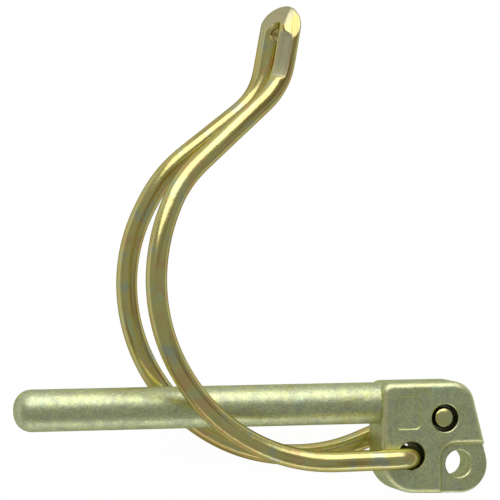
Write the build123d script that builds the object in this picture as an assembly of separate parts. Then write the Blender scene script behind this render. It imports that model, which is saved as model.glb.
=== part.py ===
"""Lynch pin for a tubular shaft: a forged pin with a flat head, and a sprung wire bail that turns in it.

Millimetres. The origin is on the shank's axis, where the shank meets its head. The shank runs to -X,
the head lies across +X, and the pin lies flat, with the bail's lower leg as its lowest part (-Z).
"""
from build123d import *
from math import cos, radians, sin, tan
import os

# ---- forged pin: shank ----
shank_diameter = 10.0
shank_length = 88.9        # rounded tip to the head
tip_rounding = 4.2         # radius rolled onto the edge of the tip
root_flare = 0.15          # growth in radius inside the head, where the bar blends into it

# ---- forged pin: head, an upright plate in line with the shank ----
head_thickness = 12.0
head_rise = 0.2            # how far the head's top stands above the shank
head_drop = 21.4           # from the shank's axis down to the head's lower edge, shank side
head_top_length = 22.4     # along the top edge, up to the sharp corner
head_lean = 14.4           # degrees that the outer edge leans away from the shank
toe_drop = 0.9             # how much lower the outer end of the lower edge lies
head_corner_radii = [2.6, 5.8, 6.9, 8.3]   # shank side top, outer top, outer bottom, shank side bottom
head_edge_radius = 1.7

# ---- lanyard lug: the outer lower corner of the head, forged thinner on both faces ----
lug_thickness = 8.4
lug_start = 15.6           # distance of the lug's upright step from the shank side of the head
lug_top = 10.3             # depth of the lug's level step below the shank's axis
lug_step_radius = 3.3
lug_edge_radius = 0.8
step_draft = 30.0           # degrees that the steps down to the lug lean
lanyard_hole_diameter = 6.6
lanyard_hole_from_step = 4.3   # hole centre to the upright step
lanyard_hole_below_step = 4.6  # hole centre to the level step

# ---- spring wire ----
wire_diameter = 5.0
wire_hole_clearance = 1.6  # hole diameter less wire diameter
wire_to_face = 0.4         # gap between a leg and the face of the head
wire_inner_bend = 1.3      # inside radius, where an end turns into its hole
wire_end_recess = 0.2      # how far an end stops inside the far face
wire_end_chamfer = 0.5
hole_rim_chamfer = 0.3

# ---- wire holes in the head: centres from the shank side and from the shank's axis ----
front_hole = (7.3, -12.5)
rear_hole = (15.8, -3.6)
front_wire_shift = (-0.2, -0.4)   # where the sprung wire settles in its hole
rear_wire_shift = (-0.1, 0.1)

# ---- blank panel pressed into the front face ----
panel_width = 5.6
panel_height = 7.5
panel_depth = 0.4
panel_centre = (6.4, -2.2)
panel_corner_radius = 0.8
panel_draft = 35.0

# ---- bail: each leg is a bow of two arcs, drawn from the middle of the tube that it embraces ----
front_bow_centre = (-12.64, 31.0)
front_bow_radius = 44.2        # the half nearer the head
front_upper_radius = 37.5      # the half nearer the nose
front_upper_sweep = 48.5       # degrees
rear_bow_centre = (-17.3, 29.5)
rear_bow_radius = 42.4
rear_upper_radius = 40.3
rear_upper_sweep = 51.5
rear_rise_angle = 21.0         # degrees that the rear leg climbs to its hole
rear_rise_radius = 40.0
bow_roundness = 0.98           # share of a full tangent arc, so that a short straight is left between bends

# ---- bail: nose, the closed end where both legs lie side by side ----
nose_tip_height = 95.5         # top of the wire above the shank's axis
nose_tip_offset = -22.1        # the front leg's centre there, from the shank side of the head
nose_lean = 10.0               # degrees from upright
nose_twist = 30.0              # degrees that the pair of legs is turned about the nose
nose_gap = 0.3                 # between the two legs
knee_radius = 16.0
splay_radius = 30.0
splay_from_middle = 5.7    # each leg's distance from the middle plane where its upper bow ends

shank_radius = shank_diameter / 2
wire_radius = wire_diameter / 2
wire_bend_radius = wire_inner_bend + wire_radius
wire_hole_radius = (wire_diameter + wire_hole_clearance) / 2
leg_height = head_thickness / 2 + wire_to_face + wire_radius
nose_pitch = wire_diameter + nose_gap


def head_outline():
    """The head's side view: four corners, each with its own radius."""
    top = shank_radius + head_rise
    outer_drop = head_drop + toe_drop
    outer_foot = head_top_length + (top + outer_drop) * tan(radians(head_lean))
    corners = [(0, top), (head_top_length, top), (outer_foot, -outer_drop), (0, -head_drop)]
    outline = make_face(Polyline(*corners, close=True))
    for corner, corner_radius in zip(corners, head_corner_radii):
        outline = fillet(outline.vertices().sort_by_distance(corner)[0], corner_radius)
    return outline


def lug_area():
    """Everything outside the lug's two steps, with a rounded inner corner."""
    reach = 4 * head_drop
    area = Pos(lug_start + reach / 2, -lug_top - reach / 2) * Rectangle(reach, reach)
    return fillet(area.vertices().sort_by_distance((lug_start, -lug_top))[0], lug_step_radius)


def both_ways(face, thickness):
    """A plate of the given thickness, centred on the face's plane."""
    return extrude(face, thickness / 2, both=True)


def level_edges(plate, height):
    """The plate's edges that lie flat at the given height, on both sides."""
    return [edge for edge in plate.edges().filter_by(Plane.XY) if abs(abs(edge.center().Z) - height) < 1e-4]


def head():
    """A thick plate, and the thinner lug plate that runs through it."""
    thick = both_ways(head_outline(), head_thickness) - both_ways(lug_area(), lug_thickness)
    step = extrude(lug_area(), head_thickness - lug_thickness, taper=-step_draft)
    front_step = Pos(0, 0, lug_thickness / 2) * step
    thick -= front_step
    thick -= mirror(front_step, about=Plane.XY)
    step_height = (head_thickness - lug_thickness) / 2
    edge_radius = min(head_edge_radius, 0.95 * step_height)
    thick = fillet(level_edges(thick, head_thickness / 2), edge_radius)
    thin = both_ways(head_outline(), lug_thickness)
    thin = fillet(level_edges(thin, lug_thickness / 2), lug_edge_radius)
    return thick + thin


def shank():
    """A round bar along -X with a rolled tip, and a flared root inside the head, which it is forged with."""
    bar = Plane.YZ.offset(-shank_length) * extrude(Circle(shank_radius), shank_length)
    tip_edge = bar.edges().filter_by(GeomType.CIRCLE).sort_by(Axis.X)[0]
    bar = fillet(tip_edge, tip_rounding)
    root = head_corner_radii[0] + head_edge_radius
    return bar + Pos(root / 2, 0, 0) * Rot(0, 90, 0) * Cone(shank_radius, shank_radius + root_flare, root)


def through_hole(centre, hole_radius, thickness):
    """A drilled hole with a small chamfer at each face."""
    drill = Pos(*centre) * Cylinder(hole_radius, thickness + 2)
    for side in (1, -1):
        rim = Pos(*centre, side * (thickness / 2 - hole_rim_chamfer / 2))
        small, large = hole_radius, hole_radius + hole_rim_chamfer
        lower, upper = (small, large) if side > 0 else (large, small)
        drill += rim * Cone(lower, upper, hole_rim_chamfer)
    return drill


def pin_body():
    """The one forged piece: shank, head, lug, its three holes and the blank panel."""
    body = shank() + head()
    lanyard_hole = (lug_start + lanyard_hole_from_step, -lug_top - lanyard_hole_below_step)
    body -= through_hole(front_hole, wire_hole_radius, head_thickness)
    body -= through_hole(rear_hole, wire_hole_radius, head_thickness)
    body -= through_hole(lanyard_hole, lanyard_hole_diameter / 2, lug_thickness)
    panel = Pos(*panel_centre) * RectangleRounded(panel_width, panel_height, panel_corner_radius)
    body -= Pos(0, 0, head_thickness / 2 - panel_depth) * extrude(panel, 2 * panel_depth, taper=-panel_draft)
    return body


def corners_round(centre, arc_radius, start, sweep, count):
    """Corners of the run of tangents to an arc. Angles in degrees, count is the number of corners."""
    step = sweep / count
    reach = arc_radius / cos(radians(step / 2))
    angles = [radians(start + step * (i + 0.5)) for i in range(count)]
    return [(centre[0] + reach * cos(a), centre[1] + reach * sin(a)) for a in angles]


def crossing(point_a, angle_a, point_b, angle_b):
    """Where two lines in the side view cross. Each is a point and an angle in degrees."""
    ax, ay = cos(radians(angle_a)), sin(radians(angle_a))
    bx, by = cos(radians(angle_b)), sin(radians(angle_b))
    along = ((point_b[0] - point_a[0]) * by - (point_b[1] - point_a[1]) * bx) / (ax * by - ay * bx)
    return (point_a[0] + ax * along, point_a[1] + ay * along)


def leg(side, bow_centre, bow_radius, upper_radius, upper_sweep, hole_point, lead):
    """Route of one leg from its end in the head to the nose, as corners and bend radii.

    side is 1 for the front leg and -1 for the rear one. lead holds extra corners near the head.
    """
    inner_end = -side * (head_thickness / 2 - wire_end_recess)
    far_x = bow_centre[0] - bow_radius
    upper_centre = (far_x + upper_radius, bow_centre[1])
    lower = corners_round(bow_centre, bow_radius, 270, -90, 3)
    upper = corners_round(upper_centre, upper_radius, 180, -upper_sweep, 2)
    turn = radians(180 - upper_sweep)
    bow_end = (upper_centre[0] + upper_radius * cos(turn), upper_centre[1] + upper_radius * sin(turn))
    tip_drop = wire_radius + (1 - side) / 2 * -nose_pitch * sin(radians(nose_twist)) * sin(radians(nose_lean))
    tip_shift = (1 - side) / 2 * -nose_pitch * sin(radians(nose_twist)) * cos(radians(nose_lean))
    tip = (nose_tip_offset + tip_shift, nose_tip_height - tip_drop)
    knee = crossing(bow_end, 90 - upper_sweep, tip, 90 - nose_lean)
    tip_height = nose_pitch / 2 * cos(radians(nose_twist))
    knee_height = nose_pitch / 2
    corners = [(*hole_point, inner_end), (*hole_point, side * leg_height)]
    corners += [(*point, side * leg_height) for point in lead + lower + upper[:1]]
    corners += [(*upper[1], side * splay_from_middle), (*knee, side * knee_height), (*tip, side * tip_height)]
    radii = [wire_bend_radius] + [rear_rise_radius] * len(lead) + [bow_radius * bow_roundness] * 3
    radii += [upper_radius * bow_roundness, splay_radius, knee_radius]
    return corners, radii


def wire_route():
    """The wire's centre line: front leg up to the nose, over it, and down the rear leg."""
    front_point = (front_hole[0] + front_wire_shift[0], front_hole[1] + front_wire_shift[1])
    rear_point = (rear_hole[0] + rear_wire_shift[0], rear_hole[1] + rear_wire_shift[1])
    level = (rear_bow_centre[0], rear_bow_centre[1] - rear_bow_radius)
    rise = crossing(level, 0, rear_point, rear_rise_angle)
    front, front_radii = leg(1, front_bow_centre, front_bow_radius, front_upper_radius,
                             front_upper_sweep, front_point, [])
    rear, rear_radii = leg(-1, rear_bow_centre, rear_bow_radius, rear_upper_radius,
                           rear_upper_sweep, rear_point, [rise])
    nose_bend = nose_pitch / 2 - 0.02
    radii = front_radii + [nose_bend, nose_bend] + rear_radii[::-1]
    return FilletPolyline(*front, *rear[::-1], radius=radii)


def wire_bail():
    """One length of round spring wire, bent along its route, with chamfered ends."""
    route = wire_route()
    start = Plane(route @ 0, z_dir=route % 0)
    wire = sweep(start * Circle(wire_radius), path=route)
    ends = wire.faces().filter_by(GeomType.PLANE)
    return chamfer([edge for face in ends for edge in face.edges()], wire_end_chamfer)


os.makedirs("parts", exist_ok=True)
export_step(pin_body(), "parts/pin_body.step")
export_step(wire_bail(), "parts/wire_bail.step")
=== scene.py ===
"""A lynch pin lying on its side: a forged pin with a flat head, and a sprung wire bail.

Both are steel, zinc plated and passivated yellow.
"""

import bpy
import numpy as np
from mathutils import Matrix, Vector


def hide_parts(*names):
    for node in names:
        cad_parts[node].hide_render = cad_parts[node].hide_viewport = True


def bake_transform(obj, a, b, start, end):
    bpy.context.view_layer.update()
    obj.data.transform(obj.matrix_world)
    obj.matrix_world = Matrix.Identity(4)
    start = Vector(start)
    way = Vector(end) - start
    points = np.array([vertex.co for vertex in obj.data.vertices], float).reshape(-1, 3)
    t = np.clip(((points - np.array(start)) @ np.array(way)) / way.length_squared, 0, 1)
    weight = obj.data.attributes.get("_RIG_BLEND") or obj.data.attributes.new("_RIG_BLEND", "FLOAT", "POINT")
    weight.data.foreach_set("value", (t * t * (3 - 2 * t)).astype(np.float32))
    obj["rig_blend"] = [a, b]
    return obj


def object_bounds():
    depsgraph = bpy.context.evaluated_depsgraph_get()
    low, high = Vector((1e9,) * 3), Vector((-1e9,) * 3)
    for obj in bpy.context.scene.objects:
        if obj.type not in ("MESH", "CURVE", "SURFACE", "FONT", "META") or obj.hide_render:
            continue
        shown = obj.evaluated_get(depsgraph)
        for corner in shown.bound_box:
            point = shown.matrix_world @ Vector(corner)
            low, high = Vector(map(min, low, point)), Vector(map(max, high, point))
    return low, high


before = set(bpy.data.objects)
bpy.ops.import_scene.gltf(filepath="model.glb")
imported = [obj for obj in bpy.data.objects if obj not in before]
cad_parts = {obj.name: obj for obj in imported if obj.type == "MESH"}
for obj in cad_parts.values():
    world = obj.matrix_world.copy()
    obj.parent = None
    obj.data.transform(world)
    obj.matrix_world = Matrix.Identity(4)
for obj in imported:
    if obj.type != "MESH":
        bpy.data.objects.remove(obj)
cad_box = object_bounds()
MM = 0.001


# ---- The forged pin --------------------------------------------------------------------------------
# Shank, flat head and thin lanyard lug are one drop-forged piece of steel, tumbled, then zinc plated
# and passivated yellow. The forging scale leaves a fine grain, and the passivate clouds olive and green.

FORGED_COLOUR = (0.78, 0.83, 0.46)
FORGED_OLIVE = (0.66, 0.66, 0.28)
FORGED_GREEN = (0.68, 0.88, 0.58)
FORGED_GREY = (0.60, 0.63, 0.47)
EDGE_PAINTED_HIGHLIGHT = (0.95, 0.92, 0.52)
HOLE_PAINTED_SHADE = (0.035, 0.032, 0.02)
# In millimetres: the wire holes' axes, how far from one the painted shade on its wall reaches, and where the
# head begins.
WIRE_HOLES = ((7.3, -12.5), (15.8, -3.6))
HOLE_REACH = 3.42
HEAD_STARTS = 0.2


def node(tree, kind, at, **inputs):
    """A shader node of that kind with its sockets set to the given values."""
    made = tree.nodes.new(kind)
    made.location = at
    for name, value in inputs.items():
        made.inputs[name.replace("_", " ")].default_value = value
    return made


def noise(tree, at, coordinates, scale, detail=4.0, rough=0.55, distort=0.0):
    """Cloudy noise of that many cells to a metre, read at the given coordinates."""
    made = node(tree, "ShaderNodeTexNoise", at, Scale=scale, Detail=detail, Roughness=rough,
                Distortion=distort)
    tree.links.new(coordinates, made.inputs["Vector"])
    return made.outputs["Fac"]


def ramp(tree, at, value, stops):
    """A colour ramp through (position, colour) stops."""
    made = tree.nodes.new("ShaderNodeValToRGB")
    made.location = at
    elements = made.color_ramp.elements
    for spare in range(len(stops) - 2):
        elements.new(0.5)
    for element, (position, colour) in zip(elements, stops):
        element.position = position
        element.color = (*colour, 1.0) if len(colour) == 3 else colour
    tree.links.new(value, made.inputs["Fac"])
    return made.outputs["Color"]


def grey(level):
    """A colour with its three parts alike."""
    return (level, level, level)


def mix_colours(tree, at, factor, first, second, way="MIX"):
    """Mixes two colours by a factor. Each of the three is a socket or a fixed value."""
    made = tree.nodes.new("ShaderNodeMix")
    made.location = at
    made.data_type = "RGBA"
    made.blend_type = way
    for socket, value in ((made.inputs[0], factor), (made.inputs[6], first), (made.inputs[7], second)):
        if isinstance(value, bpy.types.NodeSocket):
            tree.links.new(value, socket)
        else:
            socket.default_value = (*value, 1.0) if isinstance(value, tuple) else value
    return made.outputs[2]


def add(tree, at, first, second, weight):
    """first + weight * second, for heights."""
    made = tree.nodes.new("ShaderNodeMath")
    made.location = at
    made.operation = "MULTIPLY_ADD"
    tree.links.new(second, made.inputs[0])
    made.inputs[1].default_value = weight
    tree.links.new(first, made.inputs[2])
    return made.outputs[0]


def metal(name, edge_tint):
    """A new metal material, its Principled node and its tree. It mirrors the tint at a grazing angle."""
    made = bpy.data.materials.new(name)
    made.use_nodes = True
    shader = made.node_tree.nodes["Principled BSDF"]
    shader.inputs["Metallic"].default_value = 1.0
    shader.inputs["Specular Tint"].default_value = (*edge_tint, 1.0)
    return made, shader, made.node_tree


def math_node(tree, operation, first, second):
    """One sum of two sockets or numbers."""
    made = tree.nodes.new("ShaderNodeMath")
    made.operation = operation
    for socket, value in zip(made.inputs, (first, second)):
        if isinstance(value, bpy.types.NodeSocket):
            tree.links.new(value, socket)
        else:
            socket.default_value = value
    return made.outputs[0]


def rounded_edges(tree, place, patches):
    """Marks the head's rolled edges for a painted highlight, in patches: where the surface there faces
    neither straight out of a face nor along it. The shank, which is round all over, is left out."""
    facing = tree.nodes.new("ShaderNodeSeparateXYZ")
    tree.links.new(tree.nodes.new("ShaderNodeTexCoord").outputs["Normal"], facing.inputs[0])
    upright = math_node(tree, "ABSOLUTE", facing.outputs["Z"], 0.0)
    rolled = ramp(tree, (-600, 600), upright, [(0.30, grey(0.0)), (0.55, grey(1.0)), (0.85, grey(1.0)),
                                               (0.985, grey(0.0))])
    where = tree.nodes.new("ShaderNodeSeparateXYZ")
    tree.links.new(place, where.inputs[0])
    on_head = math_node(tree, "GREATER_THAN", where.outputs["X"], HEAD_STARTS * MM)
    sheen_and_rub = ramp(tree, (-600, 750), patches, [(0.30, grey(0.25)), (0.60, grey(0.75))])
    return math_node(tree, "MULTIPLY", math_node(tree, "MULTIPLY", rolled, on_head), sheen_and_rub)


def shaded_hole_walls(tree, place):
    """Marks the walls of the two wire holes for painted shade: all that lies within a wall's reach of either
    axis.
    """
    flat = tree.nodes.new("ShaderNodeVectorMath")
    flat.operation = "MULTIPLY"
    tree.links.new(place, flat.inputs[0])
    flat.inputs[1].default_value = (1.0, 1.0, 0.0)
    near = 0.0
    for x, y in WIRE_HOLES:
        reach = tree.nodes.new("ShaderNodeVectorMath")
        reach.operation = "DISTANCE"
        tree.links.new(flat.outputs[0], reach.inputs[0])
        reach.inputs[1].default_value = (x * MM, y * MM, 0.0)
        inside = math_node(tree, "LESS_THAN", reach.outputs["Value"], HOLE_REACH * MM)
        near = math_node(tree, "ADD", inside, near)
    return math_node(tree, "MULTIPLY", near, 0.96)


def forged_yellow_zinc():
    """Satin metal: clouds of olive, green and grey over a fine forged grain, a painted highlight on the
    head's rolled edges, and painted shade in the wire holes.
    """
    made, shader, tree = metal("forged_yellow_zinc", (0.72, 0.76, 0.50))
    place = tree.nodes.new("ShaderNodeTexCoord").outputs["Object"]
    clouds = noise(tree, (-900, 300), place, 130, 5, 0.6, 0.4)
    patches = noise(tree, (-900, 100), place, 420, 4, 0.6)
    grain = noise(tree, (-900, -100), place, 2100, 3, 0.6)
    pits = noise(tree, (-900, -300), place, 3600, 2, 0.5)
    base = ramp(tree, (-600, 300), clouds, [(0.32, FORGED_OLIVE), (0.47, FORGED_COLOUR),
                                            (0.60, FORGED_COLOUR), (0.72, FORGED_GREEN)])
    spots = ramp(tree, (-600, 100), patches, [(0.40, grey(0.0)), (0.64, grey(0.75))])
    colour = mix_colours(tree, (-300, 300), spots, base, FORGED_GREY)
    speckle = ramp(tree, (-600, -100), grain, [(0.30, grey(0.74)), (0.70, grey(1.12))])
    colour = mix_colours(tree, (-100, 300), 1.0, colour, speckle, "MULTIPLY")
    # Painted highlight: the head's rolled edges are coloured paler and brighter, in patches, as if catching
    # the lamp.
    edge_highlight = rounded_edges(tree, place, patches)
    colour = mix_colours(tree, (50, 300), edge_highlight, colour, EDGE_PAINTED_HIGHLIGHT)
    # Painted shade: the walls of the wire holes are coloured near black, as if lying in shadow.
    colour = mix_colours(tree, (200, 300), shaded_hole_walls(tree, place), colour, HOLE_PAINTED_SHADE)
    tree.links.new(colour, shader.inputs["Base Color"])
    gloss = ramp(tree, (-300, 0), patches, [(0.3, grey(0.34)), (0.7, grey(0.46))])
    tree.links.new(gloss, shader.inputs["Roughness"])
    height = add(tree, (-300, -200), patches, grain, 0.5)
    height = add(tree, (-150, -200), height, pits, 0.18)
    bump = node(tree, "ShaderNodeBump", (0, -200), Strength=0.5, Distance=0.00024)
    tree.links.new(height, bump.inputs["Height"])
    tree.links.new(bump.outputs["Normal"], shader.inputs["Normal"])
    return made


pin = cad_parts["pin_body"]
pin.data.materials.clear()
pin.data.materials.append(forged_yellow_zinc())


# ---- The wire bail ---------------------------------------------------------------------------------
# One length of 5 mm round spring wire: each end is turned into a hole in the head, the two legs bow
# round the tube's two sides, and they meet in a pressed nose. Bright drawn wire, yellow zinc plated.

HEAD_THICKNESS = 12.0
WIRE_RADIUS = 2.5
WIRE_TO_FACE = 0.4
WIRE_BEND = 3.8
WIRE_END_RECESS = 0.2
WIRE_END_CHAMFER = 0.5
LEG_HEIGHT = HEAD_THICKNESS / 2 + WIRE_TO_FACE + WIRE_RADIUS
FRONT_END = (7.1, -12.9)
REAR_END = (15.7, -3.5)
FRONT_BOW = {"centre": (-12.64, 31.0), "radius": 44.2, "upper_radius": 37.5, "upper_sweep": 48.5}
REAR_BOW = {"centre": (-17.3, 29.5), "radius": 42.4, "upper_radius": 40.3, "upper_sweep": 51.5}
REAR_RISE_ANGLE = 21.0
REAR_RISE_RADIUS = 40.0
BOW_ROUNDNESS = 0.98
NOSE_TIP = (-22.1, 95.5)
NOSE_LEAN = 10.0
NOSE_TWIST = 30.0
NOSE_PITCH = 5.3
KNEE_RADIUS = 16.0
SPLAY_RADIUS = 30.0
SPLAY_FROM_MIDDLE = 5.7
RING_STEP = 0.35
RING_POINTS = 48
END_BEND_RUN = 22.0
NOSE_BEND_RUN = 6.0
EASE_STEPS = 4.0


def round_corners(centre, radius, start, sweep, count):
    """Corners of the run of tangents to an arc, from its start angle through its sweep, in degrees."""
    step = sweep / count
    angles = np.radians(start + step * (np.arange(count) + 0.5))
    reach = radius / np.cos(np.radians(step / 2))
    return np.array(centre) + reach * np.column_stack([np.cos(angles), np.sin(angles)])


def crossing(point_a, angle_a, point_b, angle_b):
    """Where two lines cross, each given as a point and an angle in degrees."""
    (ax, ay), (bx, by) = ((np.cos(a), np.sin(a)) for a in np.radians([angle_a, angle_b]))
    apart_x, apart_y = np.subtract(point_b, point_a)
    return np.array(point_a) + np.array([ax, ay]) * (apart_x * by - apart_y * bx) / (ax * by - ay * bx)


def leg_corners(side, bow, end, lead):
    """Corners and bend radii from the head to the nose's tip: lower bow, upper bow, knee and nose."""
    twist, lean = np.radians(NOSE_TWIST), np.radians(NOSE_LEAN)
    far_x = bow["centre"][0] - bow["radius"]
    upper_centre = np.array([far_x + bow["upper_radius"], bow["centre"][1]])
    lower = round_corners(bow["centre"], bow["radius"], 270, -90, 3)
    upper = round_corners(upper_centre, bow["upper_radius"], 180, -bow["upper_sweep"], 2)
    turn = np.radians(180 - bow["upper_sweep"])
    bow_end = upper_centre + bow["upper_radius"] * np.array([np.cos(turn), np.sin(turn)])
    behind = (side - 1) / 2 * NOSE_PITCH * np.sin(twist)
    tip = np.array([NOSE_TIP[0] + behind * np.cos(lean), NOSE_TIP[1] - WIRE_RADIUS - behind * np.sin(lean)])
    knee = crossing(bow_end, 90 - bow["upper_sweep"], tip, 90 - NOSE_LEAN)
    flat = np.vstack([[end, end], *([lead] if len(lead) else []), lower, upper, [knee, tip]])
    height = np.full(len(flat), side * LEG_HEIGHT)
    height[0] = -side * (HEAD_THICKNESS / 2 - WIRE_END_RECESS)
    height[-3] = side * SPLAY_FROM_MIDDLE
    height[-2] = side * NOSE_PITCH / 2
    height[-1] = side * NOSE_PITCH / 2 * np.cos(twist)
    radii = [WIRE_BEND] + [REAR_RISE_RADIUS] * len(lead) + [bow["radius"] * BOW_ROUNDNESS] * 3
    radii += [bow["upper_radius"] * BOW_ROUNDNESS, SPLAY_RADIUS, KNEE_RADIUS]
    return np.column_stack([flat, height]), radii


def rounded_route(corners, radii, step):
    """Points a step apart along straight runs joined by arcs: an arc of radius r starts r tan(turn / 2)
    before its corner, and its points are start + r sin(a) u + r (1 - cos(a)) n."""
    points = [corners[:1]]
    for before, corner, after, radius in zip(corners[:-2], corners[1:-1], corners[2:], radii):
        u = (corner - before) / np.linalg.norm(corner - before)
        v = (after - corner) / np.linalg.norm(after - corner)
        turn = np.arccos(np.clip(u @ v, -1, 1))
        n = (v - (u @ v) * u) / np.sin(turn)
        a = np.linspace(0, turn, 24)[:, None]
        start = corner - u * radius * np.tan(turn / 2)
        points.append(start + radius * (np.sin(a) * u + (1 - np.cos(a)) * n))
    points.append(corners[-1:])
    line = np.vstack(points)
    run = np.concatenate([[0], np.cumsum(np.linalg.norm(np.diff(line, axis=0), axis=1))])
    moved = np.concatenate([[True], np.diff(run) > 1e-6])
    line, run = line[moved], run[moved]
    even = np.linspace(0, run[-1], int(run[-1] / step) + 1)
    return np.column_stack([np.interp(even, run, line[:, k]) for k in range(3)]), even


def bail_route():
    """The wire's centre line: up the front leg, over the nose, and down the rear leg."""
    level = (REAR_BOW["centre"][0], REAR_BOW["centre"][1] - REAR_BOW["radius"])
    rise = crossing(level, 0, REAR_END, REAR_RISE_ANGLE)
    front, front_radii = leg_corners(1, FRONT_BOW, FRONT_END, [])
    rear, rear_radii = leg_corners(-1, REAR_BOW, REAR_END, [rise])
    nose_bend = NOSE_PITCH / 2 - 0.02
    corners = np.vstack([front, rear[::-1]])
    return rounded_route(corners, front_radii + [nose_bend, nose_bend] + rear_radii[::-1], RING_STEP)


def eased(line, spread):
    """The line averaged along itself with a bell of that many steps, so that its bends join smoothly."""
    reach = int(3 * spread)
    bell = np.exp(-0.5 * (np.arange(-reach, reach + 1) / spread) ** 2)
    bell /= bell.sum()
    head = 2 * line[:1] - line[reach:0:-1]
    tail = 2 * line[-1:] - line[-2:-reach - 2:-1]
    long = np.vstack([head, line, tail])
    return np.column_stack([np.convolve(long[:, k], bell, "valid") for k in range(3)])


line, run = bail_route()
length = run[-1]
middle = int(np.argmax(line[:, 1]))
from_nose = np.abs(run - run[middle])
near_end = np.minimum(run, length - run)
keep_sharp = np.clip(1.5 - from_nose / 8, 0, 1)[:, None]
line = eased(line, EASE_STEPS) * (1 - keep_sharp) + line * keep_sharp
tangent = np.gradient(line, axis=0)
tangent /= np.linalg.norm(tangent, axis=1)[:, None]

# Each ring's out direction lies in the leg's own plane, away from the bow, and carries on over the nose.
past_bend = int(END_BEND_RUN / RING_STEP)
before_nose = int(NOSE_BEND_RUN / RING_STEP)
index = np.arange(len(line))
front_half = index <= middle
along = np.where(front_half, np.clip(index, past_bend, middle - before_nose),
                 np.clip(index, middle + before_nose, len(line) - 1 - past_bend))
out = np.cross([0, 0, 1], tangent[along]) * np.where(front_half, 1, -1)[:, None]
out -= (out * tangent).sum(1)[:, None] * tangent
out /= np.linalg.norm(out, axis=1)[:, None]
across = np.cross(tangent, out)


def ring_radius(near):
    """The wire's radius: full, but for a chamfer over the last half millimetre of each end."""
    return WIRE_RADIUS - np.clip(WIRE_END_CHAMFER - near, 0, WIRE_END_CHAMFER)


angle = np.linspace(0, 2 * np.pi, RING_POINTS, endpoint=False)
size = ring_radius(near_end)[:, None, None]
skin = line[:, None, :] + size * (np.cos(angle)[None, :, None] * out[:, None, :]
                                  + np.sin(angle)[None, :, None] * across[:, None, :])

# The nose is pressed in a die: both wires spread sideways, meet flat along the middle with a small eye left
# under the turn, and take flats from the die on the front wire and across the turn's corner.
NOSE_SPREAD = 1.17
NOSE_THINNING = 0.88
NOSE_PUSH = 0.34
EYE_BELOW_TIP = 7.3
EYE_LENGTH = 1.3
EYE_WIDTH = 2.3
FRONT_FLAT_DEPTH = 0.62
FRONT_FLAT_RUN = (7.6, 17.2)
CORNER_FLAT_DEPTH = 1.9
TIP_FLAT_START = 7.4
TIP_FLAT_DEPTH = 0.1
FLAT_TILT = 0.25
FLAT_SHARE = 0.9
CORNER_SHARE = 0.93
TIP_SHARE = 0.8
DIE_REACH = 60.0
TIP_REACH = 30.0
PRESS_FADES = (15.0, 27.0)
lean, twist = np.radians(NOSE_LEAN), np.radians(NOSE_TWIST)
nose_up = np.array([np.sin(lean), np.cos(lean), 0.0])
to_rear = np.array([-np.sin(twist) * np.cos(lean), np.sin(twist) * np.sin(lean), -np.cos(twist)])
nose_out = np.cross(to_rear, nose_up)
nose_out *= np.sign(nose_out[2])
nose_middle = line[middle]
nose_top = nose_middle + WIRE_RADIUS * nose_up
is_front = (index < middle)[:, None]


def smooth_step(value, low, high):
    """0 below low, 1 above high, and 3 t^2 - 2 t^3 between, where t is the share of the way."""
    t = np.clip((value - low) / (high - low), 0, 1)
    return t * t * (3 - 2 * t)


def pressed_flat(skin, normal, level, share):
    """Moves points that stand beyond the plane p . normal = level back onto it, by the given share."""
    beyond = np.clip(skin @ normal - level, 0, None) * share
    return skin - beyond[..., None] * normal


below = (nose_top - line) @ nose_up
in_reach = (from_nose < DIE_REACH)[:, None]
at_tip = (from_nose < TIP_REACH)[:, None]
pressed = (1 - smooth_step(below, *PRESS_FADES)) * in_reach[:, 0]
offset = skin - line[:, None, :]
side_part = (offset @ to_rear)[..., None] * to_rear
out_part = (offset @ nose_out)[..., None] * nose_out
weight = pressed[:, None, None]
skin = skin + weight * ((NOSE_SPREAD - 1) * side_part + (NOSE_THINNING - 1) * out_part)
push = NOSE_PUSH * np.clip(((line - nose_middle) @ to_rear) / 1.5, -1, 1)
skin = skin + (pressed * push)[:, None, None] * to_rear

below_skin = (nose_top - skin) @ nose_up
in_die = pressed[:, None] * smooth_step(below_skin, 4.6, 5.2)
eye = EYE_WIDTH / 2 * np.exp(-((below_skin - EYE_BELOW_TIP) / EYE_LENGTH) ** 2) + 0.02
sideways = (skin - nose_middle) @ to_rear
over = np.where(is_front, np.clip(sideways + eye, 0, None), -np.clip(eye - sideways, 0, None))
skin = skin - (over * in_die)[..., None] * to_rear

flat_normal = nose_out - FLAT_TILT * to_rear
flat_normal /= np.linalg.norm(flat_normal)
pushed_line = line + (pressed * push)[:, None] * to_rear
level = pushed_line @ flat_normal + WIRE_RADIUS * NOSE_THINNING - FRONT_FLAT_DEPTH
flat_share = (smooth_step(below_skin, FRONT_FLAT_RUN[0] - 1.5, FRONT_FLAT_RUN[0])
              * (1 - smooth_step(below_skin, FRONT_FLAT_RUN[1], FRONT_FLAT_RUN[1] + 0.5)))
before_die = skin
skin = pressed_flat(skin, flat_normal, level[:, None], FLAT_SHARE * flat_share * is_front * in_reach)
corner_normal = np.array([-0.74, 0.59, 0.32])
corner_normal /= np.linalg.norm(corner_normal)
near_tip = at_tip & (below_skin < 14)
corner_level = np.max(np.where(near_tip, skin @ corner_normal, -1e9)) - CORNER_FLAT_DEPTH
skin = pressed_flat(skin, corner_normal, corner_level, CORNER_SHARE * near_tip)
die_mark = smooth_step(np.linalg.norm(skin - before_die, axis=2), 0.03, 0.16)
tip_normal = np.array([-0.129, 0.445, 0.887])
tip_normal /= np.linalg.norm(tip_normal)
bevel_foot = (below_skin > TIP_FLAT_START - 0.2) & (below_skin < TIP_FLAT_START + 0.2) & at_tip
tip_level = np.max(np.where(bevel_foot & is_front, skin @ tip_normal, -1e9)) - TIP_FLAT_DEPTH
in_tip_flat = near_tip & (below_skin < TIP_FLAT_START + 1.0)
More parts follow.
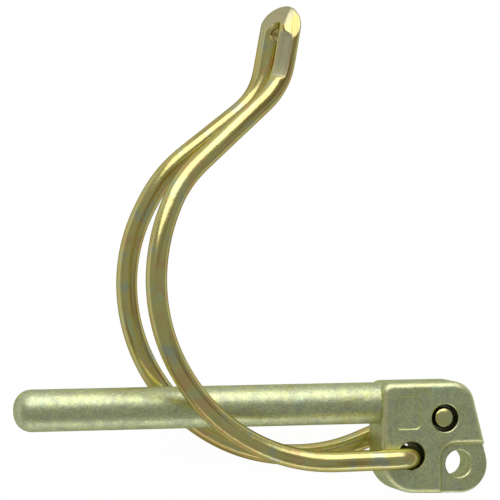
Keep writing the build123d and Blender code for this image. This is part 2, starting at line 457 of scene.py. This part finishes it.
skin = pressed_flat(skin, tip_normal, tip_level, TIP_SHARE * in_tip_flat)
# Painted shade round the eye: how near each point lies to the eye, seen along the nose's outward direction.
eye_place = nose_top - EYE_BELOW_TIP * nose_up
from_eye = skin - eye_place
from_eye = np.linalg.norm(from_eye - (from_eye @ nose_out)[..., None] * nose_out, axis=2)
eye_shade = (1 - smooth_step(from_eye, 0.7, 1.7)) * at_tip


def tube_mesh(name, skin):
    """A closed tube from rings of points: quads between neighbouring rings, and a fan on each end."""
    count, around = skin.shape[:2]
    ring, spoke = np.meshgrid(np.arange(count - 1), np.arange(around), indexing="ij")
    after = (spoke + 1) % around
    quads = np.stack([ring * around + spoke, ring * around + after, (ring + 1) * around + after,
                      (ring + 1) * around + spoke], -1).reshape(-1, 4)
    middle_a, middle_b = count * around, count * around + 1
    s = np.arange(around)
    e = (s + 1) % around
    last = (count - 1) * around
    fans = np.vstack([np.column_stack([np.full(around, middle_a), e, s]),
                      np.column_stack([np.full(around, middle_b), last + s, last + e])])
    points = np.vstack([skin.reshape(-1, 3), skin[0].mean(0), skin[-1].mean(0)]) * MM
    made = bpy.data.meshes.new(name)
    made.from_pydata(points.tolist(), [], quads.tolist() + fans.tolist())
    made.polygons.foreach_set("use_smooth", np.ones(len(made.polygons), bool))
    return made, quads


mesh, quads = tube_mesh("spring_wire", skin)
# The UV map runs along the wire in metres in V and round it in U, so that drawing marks follow the wire.
uv = mesh.uv_layers.new(name="along_wire")
u_step = np.array([0, 1, 1, 0])
v_step = np.array([0, 0, 1, 1])
quad_ring, quad_spoke = np.divmod(quads[:, 0], RING_POINTS)
quad_uv = np.stack([(quad_spoke[:, None] + u_step) / RING_POINTS * 2 * np.pi * WIRE_RADIUS * MM,
                    (quad_ring[:, None] + v_step) * RING_STEP * MM], -1).reshape(-1, 2)
corner_uv = np.zeros((len(mesh.loops), 2), np.float32)
corner_uv[:len(quad_uv)] = quad_uv
uv.data.foreach_set("uv", corner_uv.ravel())
for label, values in (("die_mark", die_mark), ("eye_shade", eye_shade)):
    mark = mesh.attributes.new(label, "FLOAT", "POINT")
    mark.data.foreach_set("value", np.append(values.ravel(), [0.0, 0.0]).astype(np.float32))
bail = bpy.data.objects.new("spring_wire_bail", mesh)
bpy.context.scene.collection.objects.link(bail)

WIRE_COLOUR = (0.78, 0.71, 0.28)
WIRE_OLIVE = (0.60, 0.55, 0.17)
WIRE_GREEN = (0.66, 0.77, 0.42)
WIRE_PEACH = (0.84, 0.58, 0.27)
WIRE_BLUE = (0.54, 0.62, 0.52)
DIE_GREY = (0.62, 0.60, 0.42)
EYE_SHADE_BROWN = (0.30, 0.16, 0.04)
WIRE_BROWN = (0.40, 0.27, 0.08)
WIRE_PALE = (0.82, 0.80, 0.50)


def bright_yellow_zinc():
    """Glossy metal: pale yellow with drifts of green, peach and blue, fine marks along the wire, and painted
    shade round the nose's eye.
    """
    made, shader, tree = metal("bright_yellow_zinc", (0.50, 0.45, 0.20))
    place = tree.nodes.new("ShaderNodeTexCoord").outputs["Object"]
    marks = tree.nodes.new("ShaderNodeUVMap")
    marks.uv_map = "along_wire"
    stretch = tree.nodes.new("ShaderNodeMapping")
    stretch.inputs["Scale"].default_value = (1.0, 0.035, 1.0)
    tree.links.new(marks.outputs["UV"], stretch.inputs["Vector"])
    drift = noise(tree, (-900, 300), place, 75, 4, 0.6, 0.6)
    tint = noise(tree, (-900, 100), place, 190, 3, 0.6, 0.3)
    drawn = noise(tree, (-900, -100), stretch.outputs["Vector"], 2600, 3, 0.6)
    streaks = noise(tree, (-900, -200), stretch.outputs["Vector"], 620, 4, 0.6, 0.3)
    dents = noise(tree, (-900, -300), place, 330, 3, 0.5)
    base = ramp(tree, (-600, 300), drift, [(0.30, WIRE_OLIVE), (0.44, WIRE_COLOUR),
                                           (0.58, WIRE_COLOUR), (0.72, WIRE_GREEN)])
    warm = ramp(tree, (-600, 100), tint, [(0.52, grey(0.0)), (0.66, grey(0.85))])
    cold = ramp(tree, (-600, 0), tint, [(0.32, grey(0.75)), (0.44, grey(0.0))])
    colour = mix_colours(tree, (-300, 300), warm, base, WIRE_PEACH)
    colour = mix_colours(tree, (-150, 300), cold, colour, WIRE_BLUE)
    brown = ramp(tree, (-600, 500), streaks, [(0.34, grey(0.85)), (0.47, grey(0.0))])
    colour = mix_colours(tree, (0, 300), brown, colour, WIRE_BROWN)
    pale = ramp(tree, (-600, 650), streaks, [(0.58, grey(0.0)), (0.72, grey(0.7))])
    colour = mix_colours(tree, (150, 300), pale, colour, WIRE_PALE)
    pressed_mark = tree.nodes.new("ShaderNodeAttribute")
    pressed_mark.attribute_name = "die_mark"
    sheen_and_rub = math_node(tree, "MULTIPLY", pressed_mark.outputs["Fac"], 0.7)
    colour = mix_colours(tree, (250, 300), sheen_and_rub, colour, DIE_GREY)
    # Painted shade: the wire round the nose's small eye is darkened to brown, as if in the eye's shadow.
    eye_mark = tree.nodes.new("ShaderNodeAttribute")
    eye_mark.attribute_name = "eye_shade"
    browned = math_node(tree, "MULTIPLY", eye_mark.outputs["Fac"], 0.8)
    colour = mix_colours(tree, (350, 300), browned, colour, EYE_SHADE_BROWN)
    tree.links.new(colour, shader.inputs["Base Color"])
    gloss = ramp(tree, (-600, -100), drawn, [(0.3, grey(0.17)), (0.7, grey(0.27))])
    dulled = math_node(tree, "MULTIPLY_ADD", pressed_mark.outputs["Fac"], 0.2)
    tree.links.new(gloss, dulled.node.inputs[2])
    tree.links.new(dulled, shader.inputs["Roughness"])
    height = add(tree, (-300, -200), dents, drawn, 0.22)
    bump = node(tree, "ShaderNodeBump", (0, -200), Strength=0.35, Distance=0.00022)
    tree.links.new(height, bump.inputs["Height"])
    tree.links.new(bump.outputs["Normal"], shader.inputs["Normal"])
    return made


mesh.materials.append(bright_yellow_zinc())
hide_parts("wire_bail")
# Both ends pivot in the head, so they stay with the pin, and each leg's swing comes in over the next 26 mm
# of wire.
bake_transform(bail, "pin", "bail", start=(0.012, -0.008, 0.0), end=(0.002, -0.008, 0.0))
END_KEPT = LEG_HEIGHT + HEAD_THICKNESS / 2
END_FREE = END_KEPT + 26.0
ease = np.clip((near_end - END_KEPT) / (END_FREE - END_KEPT), 0, 1)
swing = np.repeat(ease * ease * (3 - 2 * ease), RING_POINTS)
mesh.attributes["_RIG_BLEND"].data.foreach_set("value", np.append(swing, [0.0, 0.0]).astype(np.float32))


# ---- Floor, light and camera -----------------------------------------------------------------------
# The pin lies on a plain white table, under one large soft lamp beyond it and a weaker low one before it.

scene = bpy.context.scene
floor_level = cad_box[0][2]
floor_mesh = bpy.data.meshes.new("table_top")
floor_reach = 3.0
floor_corners = [(x * floor_reach, y * floor_reach, floor_level)
                 for x, y in ((-1, -1), (1, -1), (1, 1), (-1, 1))]
floor_mesh.from_pydata(floor_corners, [], [(0, 1, 2, 3)])
table_top = bpy.data.objects.new("table_top", floor_mesh)
scene.collection.objects.link(table_top)
white = bpy.data.materials.new("white_table")
white.use_nodes = True
tree = white.node_tree
matt = tree.nodes["Principled BSDF"]
matt.inputs["Base Color"].default_value = (0.62, 0.62, 0.62, 1)
matt.inputs["Roughness"].default_value = 0.9
matt.inputs["Specular IOR Level"].default_value = 0.0
glow = node(tree, "ShaderNodeEmission", (0, 300), Color=(1, 1, 1, 1), Strength=1.12)
ray = tree.nodes.new("ShaderNodeLightPath")


def seen_directly(tree, ray, seen, mirrored):
    """How much glow a ray gets: seen from the camera or through glass, mirrored in a reflection, else 0."""
    most = math_node(tree, "MULTIPLY", ray.outputs["Is Camera Ray"], seen)
    for kind, weight in (("Is Transmission Ray", seen), ("Is Glossy Ray", mirrored)):
        share = math_node(tree, "MULTIPLY", ray.outputs[kind], weight)
        most = math_node(tree, "MAXIMUM", most, share)
    return most


blend = tree.nodes.new("ShaderNodeMixShader")
tree.links.new(seen_directly(tree, ray, 0.86, 0.28), blend.inputs[0])
tree.links.new(matt.outputs[0], blend.inputs[1])
tree.links.new(glow.outputs[0], blend.inputs[2])
tree.links.new(blend.outputs[0], tree.nodes["Material Output"].inputs["Surface"])
floor_mesh.materials.append(white)

world = bpy.data.worlds.new("studio")
scene.world = world
world.use_nodes = True
background = world.node_tree.nodes["Background"]
background.inputs["Color"].default_value = (0.27, 0.28, 0.26, 1)
background.inputs["Strength"].default_value = 1.0


def soft_lamp(name, place, aim, size, power):
    """A rectangular soft lamp at a place, turned to its aim point."""
    data = bpy.data.lights.new(name, "AREA")
    data.shape = "RECTANGLE"
    data.size, data.size_y = size
    data.energy = power
    made = bpy.data.objects.new(name, data)
    scene.collection.objects.link(made)
    made.location = place
    made.rotation_euler = (Vector(aim) - Vector(place)).to_track_quat("-Z", "Y").to_euler()


centre = (-0.03, 0.035, 0.0)
soft_lamp("far_softbox", (-0.10, 0.70, 0.42), centre, (1.3, 0.80), 5.0)
soft_lamp("near_softbox", (0.0, -0.80, 0.16), centre, (1.3, 0.26), 1.1)

camera_data = bpy.data.cameras.new("camera")
camera_data.lens = 211.13
camera_data.sensor_width = 36.0
camera_data.clip_start = 0.05
camera_data.clip_end = 20.0
camera = bpy.data.objects.new("camera", camera_data)
scene.collection.objects.link(camera)
aim_point = Vector((-0.031545, 0.03724, 0.0))
back = Vector((-0.274893, 0.027649, 0.961077)).normalized()
right = Vector((0.961443, -0.000177, 0.275003))
right = (right - right.dot(back) * back).normalized()
up = back.cross(right)
distance = 0.69985
turned = Matrix((right, up, back)).transposed().to_4x4()
camera.matrix_world = Matrix.Translation(aim_point + back * distance) @ turned
scene.camera = camera

scene.view_settings.view_transform = "Standard"
